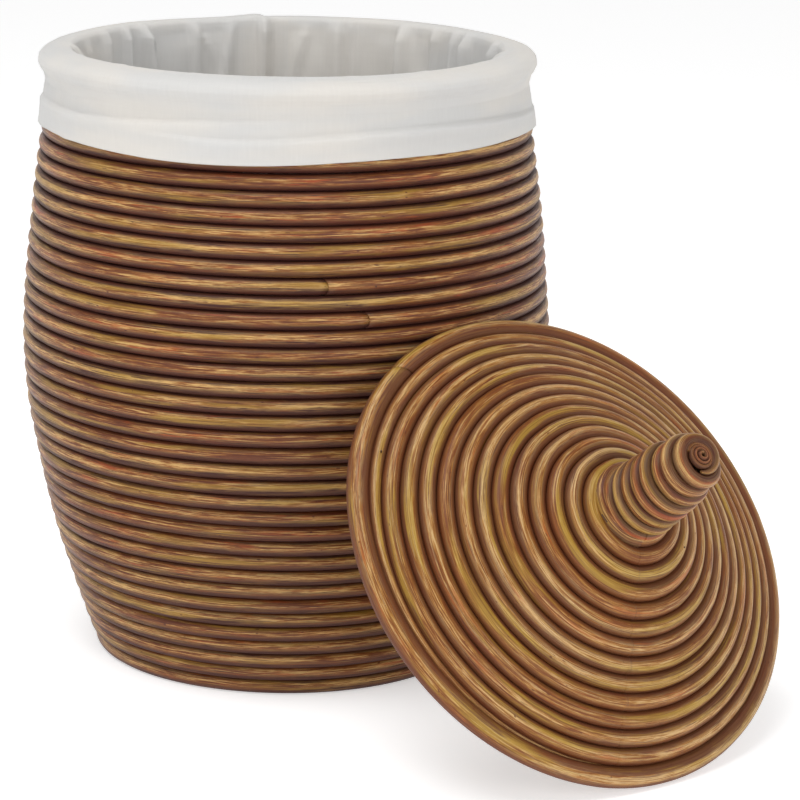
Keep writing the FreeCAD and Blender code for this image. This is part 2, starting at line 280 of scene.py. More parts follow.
class Finish:
    # a material's nodes, or the room's, added one at a time
    def __init__(self, owner):
        owner.use_nodes = True
        self.owner = owner
        self.tree = owner.node_tree
        self.tree.nodes.clear()

    def add(self, kind, settings=None, sockets=None, output=0):
        node = self.tree.nodes.new(kind)
        for name, value in (settings or {}).items():
            if name == "stops":
                self.setStops(node.color_ramp, value)
            else:
                setattr(node, name, value)
        for key, value in (sockets or {}).items():
            socket = node.inputs[key]
            if isinstance(value, Level):
                self.tree.links.new(value.socket, socket)
            else:
                socket.default_value = value
        return Level(self, node.outputs[output]) if node.outputs else None

    def setStops(self, ramp, stops):
        while len(ramp.elements) < len(stops):
            ramp.elements.new(1)
        for element, (place, colour) in zip(ramp.elements, stops):
            element.position = place
            element.color = colour

    def join(self, x, y, z):
        return self.add("ShaderNodeCombineXYZ", None, {0: x, 1: y, 2: z})

    def split(self, vector):
        node = self.add("ShaderNodeSeparateXYZ", None, {0: vector}).socket.node
        return [Level(self, socket) for socket in node.outputs]

    def grainNoise(self, vector, scale, detail=3.0, roughness=0.5):
        sockets = {"Vector": vector, "Scale": scale, "Detail": detail, "Roughness": roughness}
        return self.add("ShaderNodeTexNoise", None, sockets)

    def blendColour(self, share, first, second, mode="MIX"):
        settings = {"data_type": "RGBA", "blend_type": mode}
        return self.add("ShaderNodeMix", settings, {0: share, 6: first, 7: second}, output=2)

    def bump(self, height, strength, distance):
        return self.add("ShaderNodeBump", None, {"Height": height, "Strength": strength, "Distance": distance})

    def surface(self, **sockets):
        names = {name.replace("_", " "): value for name, value in sockets.items()}
        shader = self.add("ShaderNodeBsdfPrincipled", None, names)
        self.add("ShaderNodeOutputMaterial", None, {"Surface": shader})
        return self.owner


def newFinish(name):
    return Finish(bpy.data.materials.new(name))


rattanLook = {
    "dark": paint(98, 48, 20),
    "mid": paint(140, 86, 36),
    "pale": paint(204, 163, 101),
    # groove colour: partly real staining, partly painted shade where the poles meet
    "stainAndShade": paint(60, 22, 16),
    "red": paint(158, 68, 24),
    "olive": paint(158, 124, 44),
    "plum": paint(74, 30, 20),
    "roughness": 0.42,
    "coat": 0.12,
}
lidRattanLook = {
    "dark": paint(118, 64, 22),
    "mid": paint(160, 110, 48),
    "pale": paint(200, 164, 111),
    # groove colour: partly real staining, partly painted shade where the turns meet
    "stainAndShade": paint(88, 38, 16),
    "red": paint(166, 88, 34),
    "olive": paint(172, 140, 50),
    "plum": paint(90, 42, 18),
    "roughness": 0.42,
    "coat": 0.08,
}


# marks in the pole's skin: how often they come along the pole and round it, shift, detail and roughness
grainMarks = {
    "slow": (4.0, 0.3, 0.0, 2.0, 0.5),
    "hue": (9.0, 0.8, 5.0, 3.0, 0.5),
    "blotch": (26.0, 1.6, 0.0, 4.0, 0.6),
    "streak": (22.0, 5.0, 0.0, 5.0, 0.62),
    "fibre": (48.0, 9.0, 0.0, 4.0, 0.65),
    "lines": (7.0, 8.0, 9.0, 3.0, 0.6),
    "dots": (150.0, 3.5, 0.0, 1.0, 0.5),
}


def grainMark(finish, grain, kind):
    along, crown, side = grain
    often, around, shift, detail, roughness = grainMarks[kind]
    place = finish.join(along * often, crown * around, side * around + shift)
    return finish.grainNoise(place, 1.0, detail, roughness)


def stainedRattan(name, look=rattanLook, depth=1.0):
    # varnished pole, stained and wiped so that the staining stays in the grooves, which are also darkened as
    # painted shade between the poles; grain holds (along, crown, side)
    finish = newFinish(name)
    grain = finish.split(finish.add("ShaderNodeAttribute", {"attribute_name": "grain"}, output=1))
    side = grain[2]
    slow, hue, blotch, streak, fibre, lines, dots = [grainMark(finish, grain, kind) for kind in grainMarks]
    tone = slow * 1.2 + blotch * 0.9 + streak * 1.8 + fibre * 2.0 - 2.42
    stops = [(0.24, look["dark"]), (0.5, look["mid"]), (0.76, look["pale"])]
    base = finish.add("ShaderNodeValToRGB", {"stops": stops}, {0: tone})
    base = finish.blendColour(hue.above(0.5, 0.66) * 0.6, base, look["olive"])
    base = finish.blendColour(blotch.above(0.52, 0.66) * hue.above(0.56, 0.42) * 0.7, base, look["red"])
    # the staining stays in the grooves and in the deeper fibres, and is widened into painted shade where the
    # poles meet
    edge = abs(side) + (streak - 0.5) * 1.5 + (fibre - 0.5) * 1.1 + (blotch - 0.5) * 0.9 + (slow - 0.5) * 0.9
    # groove mask: stained grooves widened into painted shade between the poles, strongest away from the pale
    # crown
    grooveStainAndShade = (edge.above(0.36, 0.5) * 0.62 + edge.above(0.5, 0.85) * 0.36) * depth
    flecks = (fibre.above(0.56, 0.7) * streak.above(0.4, 0.58) + lines.above(0.53, 0.63)) * 0.6
    flecks = flecks.maths("MAXIMUM", flecks, dots.above(0.74, 0.79) * 0.8)
    base = finish.blendColour(flecks, base, look["plum"])
    # darkens the grooves: partly real staining, partly painted shade
    base = finish.blendColour(grooveStainAndShade, base, look["stainAndShade"])
    return finish.surface(
        Base_Color=base,
        Roughness=look["roughness"] + (streak - 0.5) * 0.25 + grooveStainAndShade * 0.25,
        Coat_Weight=look["coat"],
        Coat_Roughness=0.3,
        Specular_IOR_Level=0.3,
        Normal=finish.bump(streak * 0.6 + fibre * 0.4, 0.8, 0.001),
    )


splintLook = {"dark": paint(70, 42, 24), "pale": paint(132, 92, 54), "roughness": 0.6}
timberLook = {"dark": paint(42, 24, 15), "pale": paint(88, 54, 32), "roughness": 0.55}


def splitWood(name, look, stretch):
    # straight-grained wood, with its fibres along the axis that stretch leaves long
    finish = newFinish(name)
    place = finish.add("ShaderNodeTexCoord", output=3)
    x, y, z = finish.split(place)
    fibre = finish.grainNoise(finish.join(x * stretch[0], y * stretch[1], z * stretch[2]), 1.0, 4.0, 0.6)
    cloudy = finish.grainNoise(place, 14.0, 3.0)
    tone = fibre * 1.2 + cloudy * 0.6 - 0.4
    base = finish.add("ShaderNodeValToRGB", {"stops": [(0.25, look["dark"]), (0.75, look["pale"])]}, {0: tone})
    return finish.surface(
        Base_Color=base,
        Roughness=look["roughness"] + (fibre - 0.5) * 0.2,
        Normal=finish.bump(fibre, 0.4, 0.0005),
    )


cottonLook = {"warm": paint(213, 209, 203), "cool": paint(205, 204, 202), "thread": 0.0009}


def plainCotton(name, look=cottonLook):
    # plain weave on the sheet's own metres, with uneven threads both ways
    finish = newFinish(name)
    weave = finish.add("ShaderNodeUVMap", {"uv_map": "weave"})
    across, down, _ = finish.split(weave)
    turn = fullTurn / look["thread"]
    warp = (across * turn).maths("SINE", across * turn)
    weft = (down * turn).maths("SINE", down * turn)
    checks = warp * weft
    slub = finish.grainNoise(finish.join(across * 520.0, down * 14.0, 0.0), 1.0, 2.0)
    slubAcross = finish.grainNoise(finish.join(across * 14.0, down * 480.0, 3.0), 1.0, 2.0)
    cloudy = finish.grainNoise(finish.join(across * 7.0, down * 7.0, 0.0), 1.0, 3.0)
    base = finish.blendColour(cloudy.above(0.35, 0.65), look["cool"], look["warm"])
    shade = slub * 0.06 + slubAcross * 0.04 + 0.95
    base = finish.blendColour(1.0, base, finish.join(shade, shade, shade), "MULTIPLY")
    height = checks * 0.22 + slub * 0.6 + slubAcross * 0.35
    return finish.surface(
        Base_Color=base,
        Roughness=0.86 + (slub - 0.5) * 0.1,
        Specular_IOR_Level=0.25,
        Sheen_Weight=0.12,
        Normal=finish.bump(height, 0.55, 0.0004),
    )


rattan = stainedRattan("stained_rattan_pole")
lidRattan = stainedRattan("stained_rattan_lid", lidRattanLook, 0.92)
knobRattan = stainedRattan("stained_rattan_knob", rattanLook, 0.8)
uprightSplint = splitWood("upright_splint", splintLook, (420, 420, 14))
timber = splitWood("dark_timber", timberLook, (60, 60, 300))
cotton = plainCotton("plain_cotton")
print("finishes made")


wallLook = {
    "plump": 1.025,       # the poles press into each other
    "sway": 0.0008,       # how far a course wanders in and out
    "lift": 0.0007,       # and up and down
    "cut": 0.0035,        # slant of a joint's cut, as a share of a turn
    "gap": 0.0006,        # share of a turn left open at a joint
    "crown": (0.3, 0.3),  # the pale side is turned upwards: painted highlight on each pole's upper side and painted shade under it
    "frontJoints": {24: -74.0, 26: -82.6},   # course and angle of the joints seen from the front
    "backJoints": (8, 168),
}


def wallJoint(row):
    # where each ring's two ends meet, in degrees; most joints are round the back
    anywhere = random.Random(500 + row).uniform(*wallLook["backJoints"])
    return wallLook["frontJoints"].get(row, anywhere)


def wallRoute(row, radius, height, tube):
    start = math.radians(wallJoint(row))
    length = fullTurn * radius
    closed = 1 - wallLook["gap"]

    def route(share):
        angle = start + fullTurn * (0.5 + (share - 0.5) * closed)
        reach = radius + wallLook["sway"] * wander(angle, row, 11)
        rise = height + wallLook["lift"] * wander(angle, row, 12)
        thick = roundedEnd(share, length, tube * wallLook["plump"]) * poleBody(share, length, 900 + row)
        if row == 0:   # the lowest course stays above the ground
            rise = np.maximum(rise, height)
            thick = np.minimum(thick, height)
        return *aroundAxis(angle, reach, rise), thick

    return route, length


for index, name in enumerate(wallNodes):
    poles = []
    for row in (2 * index, 2 * index + 1):
        route, length = wallRoute(row, *wallRings[row])
        poles.append(bendPole(
            f"course_{row:02d}", longBlank, route, length,
            crown=wallLook["crown"], cut=wallLook["cut"], seed=row,
        ))
    finishPiece(joinPieces(poles, f"course_pair_{index + 1:02d}"), "basket", rattan, "stained_rattan", name)
print("wall", len(wallRings), "courses")


# the basket's floor, and how its rings' joints are spread
basketFloor = {"plump": 1.01, "closed": 0.999, "turnOn": 2.4, "crown": (math.pi / 2, math.pi / 2)}


def flatRing(radius, height, tube, number):
    def route(share):
        angle = number * basketFloor["turnOn"] + fullTurn * share * basketFloor["closed"]
        return *aroundAxis(angle, np.full_like(angle, radius), height), np.full_like(angle, tube)

    return route, fullTurn * radius


def makeFloor():
    points = cadPoints("base_coil")
    reach = np.hypot(points[:, 0], points[:, 1])
    tube = np.ptp(points[:, 2]) / 2
    height = points[:, 2].mean()
    inner, outer = reach.min() + tube, reach.max() - tube
    count = round((outer - inner) / (2 * tube)) + 1
    poles = []
    for i in range(count):
        radius = inner + (outer - inner) * i / (count - 1)
        route, length = flatRing(radius, height, tube * basketFloor["plump"], i)
        pole = bendPole(f"floor_{i}", shortBlank, route, length, crown=basketFloor["crown"], seed=70 + i)
        poles.append(pole)
    return joinPieces(poles, "floor_coil")


finishPiece(makeFloor(), "basket", rattan, "stained_rattan", "base_coil")
print("floor coil")


# the lid is one pole wound as a spiral from the knob's foot to the rim
lidLook = {
    "end": math.radians(255),   # where the spiral's outer end tapers out, seen from the knob's side
    "step": 0.4,                # share of a turn over which every turn moves out to the next one's place
    "tip": 0.0009,              # radius of the pared end
    "sway": 0.0004,
    "plump": 1.03,              # of half the distance from turn to turn, so that the turns press together
    "crown": (math.radians(62), math.radians(62)),  # the cone's outward side, from straight out
    "lap": 0.0025,              # how far one turn runs into the next
    "grainEnd": 20,             # where the grain ends at the rim, in metres of pole
}
rimLook = {
    "joint": math.radians(118),
    "closed": 0.9994,
    "sway": 0.0003,
    "plump": 1.03,
    "crown": (math.radians(50), math.radians(50)),
    "cut": 0.004,
    "swelling": 0.02,
    "spacing": 0.3,
}
conePitch = coneRings[0][0] - coneRings[1][0]
coneRise = coneRings[1][1] - coneRings[0][1]
coneTube = lidLook["plump"] * math.hypot(conePitch, coneRise) / 2
rimRadius, rimHeight, rimTube = ringsOnAxis(lidPoints("lid_rim_ring"), 1)[0]


def coneRoute(index, radius, height):
    length = fullTurn * radius

    def route(share):
        angle = lidLook["end"] + fullTurn * share
        step = np.clip((share - 1 + lidLook["step"]) / lidLook["step"], 0, 1)
        thick = coneTube * poleBody(share, length, 300 + index)
        out = step * conePitch
        if index == 0:
            # no room is left beside the rim, so the last turn is pared to nothing
            pared = thick + (lidLook["tip"] - thick) * step
            out = thick - pared
            thick = pared
        reach = radius + out + lidLook["sway"] * wander(angle, 0, 21)
        return *aroundAxis(angle, reach, height - out * coneRise / conePitch), thick

    return route, length


wound = 0.0
for index, name in enumerate(coneNodes):
    route, length = coneRoute(index, *coneRings[index][:2])
    wound += length
    pole = bendPole(
        f"lid_turn_{index + 1:02d}", longBlank, route, length,
        crown=lidLook["crown"], lap=lidLook["lap"], start=lidLook["grainEnd"] - wound, place=lidPlace,
    )
    finishPiece(pole, "lid", lidRattan, "stained_rattan", name)


def rimRoute(share):
    angle = rimLook["joint"] + fullTurn * (0.5 + (share - 0.5) * rimLook["closed"])
    length = fullTurn * rimRadius
    reach = rimRadius + rimLook["sway"] * wander(angle, 0, 31)
    body = poleBody(share, length, 400, rimLook["swelling"], rimLook["spacing"])
    return *aroundAxis(angle, reach, rimHeight), roundedEnd(share, length, rimTube * rimLook["plump"]) * body


rim = bendPole(
    "lid_rim", longBlank, rimRoute, fullTurn * rimRadius,
    crown=rimLook["crown"], cut=rimLook["cut"], seed=290, place=lidPlace,
)
finishPiece(rim, "lid", lidRattan, "stained_rattan", "lid_rim_ring")


def makeLocator():
    poles = []
    for i, (radius, height, tube) in enumerate(ringsOnAxis(lidPoints("lid_locating_ring"), 2)):
        route, length = flatRing(radius, height, tube, i + 3)
        poles.append(bendPole(f"locator_{i}", longBlank, route, length, seed=260 + i, place=lidPlace))
    return joinPieces(poles, "lid_locator")


finishPiece(makeLocator(), "lid", rattan, "stained_rattan", "lid_locating_ring")
print("lid", len(coneRings), "turns")


# the knob is a tight coil that climbs, steps in and is closed by a curl
knobLook = {
    "drop": np.array([0.0005, -0.0035, 0]),   # the coil leans a little down the slope
    "plump": 1.04,
    "sway": 0.0003,
    "crowns": [0.15, 0.1, 0.1, 0.1, 0.15, 0.2, 0.3, 0.5, 0.9],   # the last turns face the knob's end
    "stepShare": 0.3,        # share of a turn over which the coil steps in
    "lap": 0.012,
    "swelling": 0.03,
    "spacing": 0.1,
    "grainStart": 7,
    "thinnedFrom": 0.6,      # share of the last turn where it starts to thin out
    "thinned": 0.75,
    "tucked": (0.002, 0.001),    # how far its end is tucked in and down
    "footPlump": 1.06,
    "footSweep": 1.6,        # how late the first turn leaves the cone
    "footLength": 0.17,      # metres of pole in the first turn
}
knobStart = lidLook["end"]


def knobValue(turns, values):
    # a ring's value through most of a turn, then a short step to the next ring's
    low = np.clip(np.floor(turns - 0.5), 0, len(values) - 1).astype(int)
    high = np.clip(low + 1, 0, len(values) - 1)
    step = np.clip((turns - 0.5 - low - 0.5) / knobLook["stepShare"] + 0.5, 0, 1)
    values = np.array(values)
    return values[low] + (values[high] - values[low]) * step


def knobRoute(turns):
    # turns counts up the knob from its foot
    radii = [ring[0] for ring in knobRings]
    heights = [ring[1] for ring in knobRings]
    places = np.arange(len(heights)) + 0.5
    climb = heights[1] - heights[0]
    levels = [heights[0] - climb, *heights, heights[-1] + climb * 0.2]
    rise = np.interp(turns, [-0.5, *places, places[-1] + 0.5], levels)
    reach = knobValue(turns, radii)
    return knobStart - fullTurn * turns, reach, rise, knobRings[0][2] * knobLook["plump"]


def knobTurn(index, length):
    def route(share):
        turns = index + share
        angle, reach, rise, tube = knobRoute(turns)
        body = poleBody(share, length, 600 + index, knobLook["swelling"], knobLook["spacing"])
        midTurn = np.sin(math.pi * share)
        reach = reach + knobLook["sway"] * wander(angle, index, 41, 5) * midTurn
        thick = tube * (1 + (body - 1) * midTurn)
        if index == len(knobRings) - 1:
            thinning = np.clip((share - knobLook["thinnedFrom"]) / (1 - knobLook["thinnedFrom"]), 0, 1)
            tuckIn, tuckDown = knobLook["tucked"]
            thick = thick * (1 - knobLook["thinned"] * thinning**1.5)
            reach = reach - tuckIn * thinning
            rise = rise - tuckDown * thinning
        centre, outward, upward = aroundAxis(angle, reach, rise)
        return centre + knobLook["drop"], outward, upward, thick

    return route


wound = 0.0
for index, name in enumerate(knobNodes):
    length = fullTurn * knobRings[index][0]
    pole = bendPole(
        f"knob_turn_{index + 1}", shortBlank, knobTurn(index, length), length,
        crown=knobLook["crowns"][index:index + 2], lap=knobLook["lap"],
        start=knobLook["grainStart"] + wound, place=lidPlace,
    )
    wound += length
    finishPiece(pole, "lid", knobRattan, "stained_rattan", name)


def footRoute(share):
    # the turn that leads from the cone's innermost turn into the knob
    _, reach, rise, tube = knobRoute(np.zeros_like(share))
    innerRadius, innerHeight, _ = coneRings[-1]
    low = 1 - share
    near = low ** knobLook["footSweep"]
    reach = reach + (innerRadius - reach) * near
    rise = rise + (innerHeight - rise) * near
    thick = (tube + (coneTube - tube) * low) * knobLook["footPlump"]
    centre, outward, upward = aroundAxis(knobStart + fullTurn * low, reach, rise)
    return centre + knobLook["drop"] * share[:, None], outward, upward, thick


foot = bendPole(
    "knob_foot", shortBlank, footRoute, knobLook["footLength"],
    crown=(lidLook["crown"][0], knobLook["crowns"][0]),
    start=knobLook["grainStart"] - knobLook["footLength"], place=lidPlace,
)
finishPiece(foot, "lid", knobRattan, "stained_rattan")


pinLook = {
    "metal": paint(84, 58, 44),
    "pin": (0.0007, 0.0022),              # radius and length
    "sunk": 0.0007,                       # how deep a pin's middle lies in the pole
    "wallPlump": 1.02,
    "staple": (0.0072, 0.0011, 0.0009),   # width, wire and height above the pole
    "wall": [(-77.6, 0.340), (-71.3, 0.354)],    # angle and height
    "lid": [(144.9, 0.176), (313.0, 0.0498)],    # angle and distance from the lid's axis
    "stapleAt": (195.3, 0.0385, 0.0935),  # angle, distance and height
}


def pinFinish():
    finish = newFinish("dull_pin")
    speckle = finish.grainNoise(finish.add("ShaderNodeTexCoord", output=3), 900.0, 2.0)
    return finish.surface(Base_Color=pinLook["metal"], Metallic=0.7, Roughness=speckle * 0.3 + 0.35)


def settle(piece, place, out, across):
    # stand a primitive on a pole, its +Z out and its +X across
    turned = Matrix((across, out.cross(across), out)).transposed().to_4x4()
    turned.translation = place
    piece.data.transform(turned)
    return piece


def outFrom(angle):
    turn = math.radians(angle)
    return Vector((math.cos(turn), math.sin(turn), 0))


def coneOut(sideways):
    # straight out of the lid's cone, in the lid's axes
    return (sideways * coneRise + Vector((0, 0, 1)) * conePitch).normalized()


def makePin(name, place, out):
    radius, length = pinLook["pin"]
    bpy.ops.object.select_all(action="DESELECT")
    bpy.ops.mesh.primitive_cylinder_add(vertices=12, radius=radius, depth=length)
    bpy.context.object.name = name
    return settle(bpy.context.object, place, out, out.orthogonal().normalized())


def makeWallPin(number, angle, level):
    radius, height, tube = min(wallRings, key=lambda ring: abs(ring[1] - level))
    out = outFrom(angle)
    reach = radius + tube * pinLook["wallPlump"] - pinLook["sunk"]
    return makePin(f"wall_pin_{number}", out * reach + Vector((0, 0, height)), out)


def makeLidPin(number, angle, distance):
    radius, height, _ = min(coneRings, key=lambda ring: abs(ring[0] - distance))
    sideways = outFrom(angle)
    out = coneOut(sideways)
    place = sideways * radius + Vector((0, 0, height)) + out * (coneTube - pinLook["sunk"])
    return makePin(f"lid_pin_{number}", lidPlace @ place, (lidPlace.to_3x3() @ out).normalized())


def makeStaple():
    width, wire, height = pinLook["staple"]
    angle, distance, rise = pinLook["stapleAt"]
    bpy.ops.object.select_all(action="DESELECT")
    bpy.ops.mesh.primitive_cube_add(size=1)
    staple = bpy.context.object
    staple.name = "knob_staple"
    staple.data.transform(Matrix.Diagonal((wire, width, height, 1)))
    sideways = outFrom(angle)
    turned = lidPlace.to_3x3()
    out = (turned @ coneOut(sideways)).normalized()
    across = (turned @ outFrom(angle + 90)).cross(out).normalized()
    return settle(staple, lidPlace @ (sideways * distance + Vector((0, 0, rise))), out, across)


dullPin = pinFinish()
wallPins = [makeWallPin(number, *spot) for number, spot in enumerate(pinLook["wall"])]
lidPins = [makeLidPin(number, *spot) for number, spot in enumerate(pinLook["lid"])]
for piece, body in (
    (joinPieces(wallPins, "wall_pins"), "basket"),
    (joinPieces(lidPins, "lid_pins"), "lid"),
    (makeStaple(), "lid"),
):
    paintPiece(piece, dullPin)
    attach(piece, body)
print("pins and staple")


curlLook = {
    "turns": 3.3,
    "thick": 0.0017,
    "inner": 0.0007,     # radius of the curl's middle
    "outer": 0.0106,
    "start": math.radians(40),
    "above": 0.0018,     # over the knob's last turn
    "dome": 0.0035,
    "tall": 1.5,         # the rattan's height as a share of its width
    "length": 0.1,       # metres of rattan
}


def curlRoute(share):
    angle = curlLook["start"] + fullTurn * curlLook["turns"] * share
    reach = curlLook["inner"] + (curlLook["outer"] - curlLook["inner"]) * share**0.8
    rise = knobRings[-1][1] + curlLook["above"] + curlLook["dome"] * (1 - share)
    centre, outward, upward = aroundAxis(angle, reach, rise)
    thick = np.full_like(share, curlLook["thick"])
    return centre + knobLook["drop"], outward, upward * curlLook["tall"], thick


curl = bendPole(
    "knob_curl", shortBlank, curlRoute, curlLook["length"],
    crown=(math.pi / 2, math.pi / 2), seed=250, place=lidPlace,
)
finishPiece(curl, "lid", knobRattan, "stained_rattan", "finial_curl")
print("knob", len(knobRings), "turns")


# the cotton liner: one bag that is turned out over the top of the wall, and its floor
linerLook = {
    "around": 330,
    "down": 144,
    "insideRows": 0.36,      # share of the rows spent on the bag's inside, which only has upright folds
    "insideShort": 0.012,    # those rows stop this far below the mouth
    "thick": 0.0011,
    "roll": [   # section of the roll over the top ring: out and up from the ring's middle, in millimetres
        (-11.4, 6.0), (-10.6, 9.6), (-8.2, 12.0), (-2.5, 12.5), (3.5, 12.0), (9.0, 10.6), (13.4, 8.4),
        (16.4, 5.2), (17.0, 1.4), (15.4, -2.8), (12.8, -6.6), (11.6, -11.2),
    ],
    "rollBulge": 0.0018,     # how unevenly the roll over the rim stands out
    "rollReach": 0.02,
    "rollLump": 0.0022,      # where the long fold at the back lies over the roll
    "lumpAt": -7.6,          # degrees from the back
    "lumpEnds": (6.5, 0.9),  # its slope to the left and to the right
    "stand": 0.0016,         # how far the cuff stands off the poles
    "foldDepth": 0.0024,     # of a fold of depth 1
    "foldSides": (0.8, 1.9),  # a fold's sharp side and its soft side
    "gathers": 23,           # folds where the bag narrows to its floor
    "gatherDepth": 0.009,
    "gatherHeight": 0.17,
    "ridgeDepth": 0.0042,    # sharp little ridges across the inside
    "cutWidth": 1.285,       # the flat cloth: round the cuff, and from floor seam to hem
    "cutLength": 0.585,
    "seam": 0.01,
}

wallHeights = np.array([ring[1] for ring in wallRings])
wallReaches = np.array([ring[0] + ring[2] for ring in wallRings])
topRadius, topHeight, _ = wallRings[-1]
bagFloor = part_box("liner_base")[1].z
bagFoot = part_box("liner_base")[1].x
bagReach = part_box("liner_side")[1].x - 0.0012
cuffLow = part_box("liner_cuff")[0].z

# folds inside the mouth: degrees from the back, to the right seen from the front, lean, width in
# millimetres, depth, and the shares of the bag's height where the fold ends at the top and at the foot
mouthFolds = [
    (-61, 4, 5, 4, 1.0, 0.0),
    (-52, -1, 3.5, 5, 1.0, 0.1),
    (-44, 16, 4, 7, 1.0, 0.0),
    (-27, 2, 4, 3, 0.85, 0.3),
    (-7.6, -3, 4.5, 8, 1.25, 0.0),
    (-17, -14, 4, 3, 0.7, 0.2),
    (15, 2, 6, 4, 1.05, 0.2),
    (19, 4, 3, 4, 1.0, 0.3),
    (34.5, -2, 5, 5, 1.0, 0.3),
    (47, 3, 4, 4.5, 1.0, 0.1),
    (55, 5, 3.5, 6, 1.0, 0.0),
    (61, 7, 5, 5, 1.0, 0.0),
    (80, 4, 5, 5, 1.0, 0.1),
    (101, -3, 4, 6, 1.0, 0.0),
    (122, 3, 6, 4, 0.9, 0.2),
    (143, -6, 4, 7, 1.0, 0.0),
    (165, 2, 5, 5, 1.0, 0.1),
    (-92, -4, 5, 6, 1.0, 0.0),
    (-112, 5, 4, 4, 0.95, 0.2),
    (-134, -3, 5, 6, 1.0, 0.0),
    (-156, 6, 4, 5, 1.0, 0.1),
]

# creases round the cuff: degrees from the front, then the drop below the roll as a share of the cuff
upperCrease = [
    (-180, 0.35), (-130, 0.35), (-75, 0.34), (-58, 0.40), (-48, 0.34), (-40, 0.29),
    (-26, 0.20), (-12, 0.12), (0, 0.08), (60, 0.10), (110, 0.36), (180, 0.35),
]
upperDepth = [
    (-180, 0.4), (-125, 0.6), (-102, 0.1), (-84, 0.25), (-68, 0.9), (-40, 1.0),
    (-20, 0.8), (-8, 0.35), (4, 0.0), (90, 0.0), (130, 0.6), (180, 0.4),
]
lowerCrease = [
    (-180, 0.60), (-90, 0.62), (-30, 0.42), (-20, 0.50), (-10, 0.53), (3, 0.45), (14, 0.41),
    (26, 0.35), (39, 0.36), (56, 0.43), (70, 0.51), (90, 0.55), (180, 0.60),
]
lowerDepth = [
    (-180, 0.4), (-90, 0.0), (-34, 0.0), (-20, 0.6), (0, 0.9), (26, 1.0), (56, 1.0),
    (70, 0.7), (84, 0.15), (110, 0.2), (180, 0.4),
]
# how far the hem is drawn up from its lowest line: angle from the front, millimetres
hemRise = [
    (-180, 6), (-90, 8), (-72, 10.5), (-60, 9.5), (-45, 7.5), (-35, 5.4), (-23, 3.8), (-10, 4.4), (0, 5.4),
    (10, 7.3), (20, 9.3), (30, 9.2), (42, 9.6), (52, 10), (66, 12), (80, 9), (100, 7), (180, 6),
]


def curveThrough(stops, angle):
    places = [place for place, _ in stops]
    values = [value for _, value in stops]
    return np.interp(angle, places, values)


def softCurve(stops, angle):
    # the stops joined smoothly, by averaging the straight joins over a few degrees
    total = np.zeros_like(angle)
    for shift in range(-9, 10, 3):
        total += curveThrough(stops, (angle + shift + 180) % 360 - 180)
    return total / 7


def clothSheet(name, across, down):
    # a flat grid, one metre square, whose weave map is filled in when it is laid
    bpy.ops.object.select_all(action="DESELECT")
    bpy.ops.mesh.primitive_grid_add(x_subdivisions=across, y_subdivisions=down, size=1, calc_uvs=True)
    cloth = bpy.context.object
    cloth.name = name
    cloth.data.name = name
    cloth.data.uv_layers[0].name = "weave"
    return cloth


def layCloth(cloth, lay, width, length):
    # lay turns shares across and down the cloth into places
    mesh = cloth.data
    flat = np.empty(len(mesh.vertices) * 3)
    mesh.vertices.foreach_get("co", flat)
    points = flat.reshape(-1, 3)
    placed = lay(points[:, 0] + 0.5, points[:, 1] + 0.5)
    mesh.vertices.foreach_set("co", placed.astype(np.float32).ravel())
    weave = mesh.uv_layers["weave"].data
    spread = np.empty(len(weave) * 2)
    weave.foreach_get("uv", spread)
    spread = spread.reshape(-1, 2) * [width, length]
    weave.foreach_set("uv", spread.astype(np.float32).ravel())
    bpy.ops.object.select_all(action="DESELECT")
    cloth.select_set(True)
    bpy.context.view_layer.objects.active = cloth
    bpy.ops.object.mode_set(mode="EDIT")
    bpy.ops.mesh.select_all(action="SELECT")
    bpy.ops.mesh.remove_doubles(threshold=0.00005)
    bpy.ops.mesh.normals_make_consistent(inside=False)
    bpy.ops.mesh.faces_shade_smooth()
    bpy.ops.object.mode_set(mode="OBJECT")


def thicken(cloth, thickness):
    solid = cloth.modifiers.new("thickness", "SOLIDIFY")
    solid.thickness = thickness
    solid.offset = 0
    bpy.context.view_layer.objects.active = cloth
    bpy.ops.object.modifier_apply(modifier=solid.name)


def crumple(points, scale, seed):
    shift = Vector((seed * 7.1, seed * 3.3, seed * 1.7))
    return np.array([noise.noise(Vector(p) * scale + shift) for p in points])


def bagProfile():
    # the cloth's section from the floor seam, up inside, over the top ring and down outside to the hem
    inside = [
        (bagFoot - 0.004, bagFloor + 0.0012),
        (bagFoot - 0.0008, bagFloor + 0.006),
        (bagFoot + 0.003, bagFloor + 0.02),
        (bagReach - 0.004, 0.135),
        (bagReach - 0.0005, 0.16),
        (bagReach, 0.20),
        (bagReach, topHeight - 0.01),
        (topRadius - 0.0118, topHeight + 0.0010),
    ]
    over = [(topRadius + out * 0.001, topHeight + up * 0.001) for out, up in linerLook["roll"]]
    outside = []
    steps = 12
    for i in range(3, steps + 1):
        height = topHeight - (topHeight - cuffLow) * i / steps
        fit = np.interp(height, wallHeights, wallReaches)
        outside.append((fit + linerLook["stand"], height))
    return inside + over + outside, len(inside) - 1, len(inside) + len(over)


def degreesFrom(angle, middle):
    # how far an angle lies from the middle, from -180 to 180
    return (angle - middle + 180) % 360 - 180


def mouthFoldDepth(run, mouth, fromBack):
    # folds down from the mouth, each with a soft side, and a sharp side with a hollow under it
    inward = np.zeros_like(run)
    downFromMouth = np.clip((mouth - run) / mouth, -0.1, 1)
    sharpSide, softSide = linerLook["foldSides"]
    for place, lean, width, depth, top, foot in mouthFolds:
        centre = place + lean * downFromMouth * 1.6
        away = np.radians(degreesFrom(fromBack, centre)) * bagReach / (width * 0.001)
        side = np.where(away * (1 if lean > 0 else -1) > 0, sharpSide, softSide)
        ridge = np.exp(-((away / side) ** 2)) - 0.3 * np.exp(-((away / 4) ** 2))
        overRoll = np.clip((run - mouth) / (0.016 if top <= 1.1 else 0.034), 0, 1)
        fade = np.clip((run / mouth - foot * 0.5) * 3, 0, 1) * (1 - overRoll)
        inward += depth * linerLook["foldDepth"] * ridge * fade
    return inward


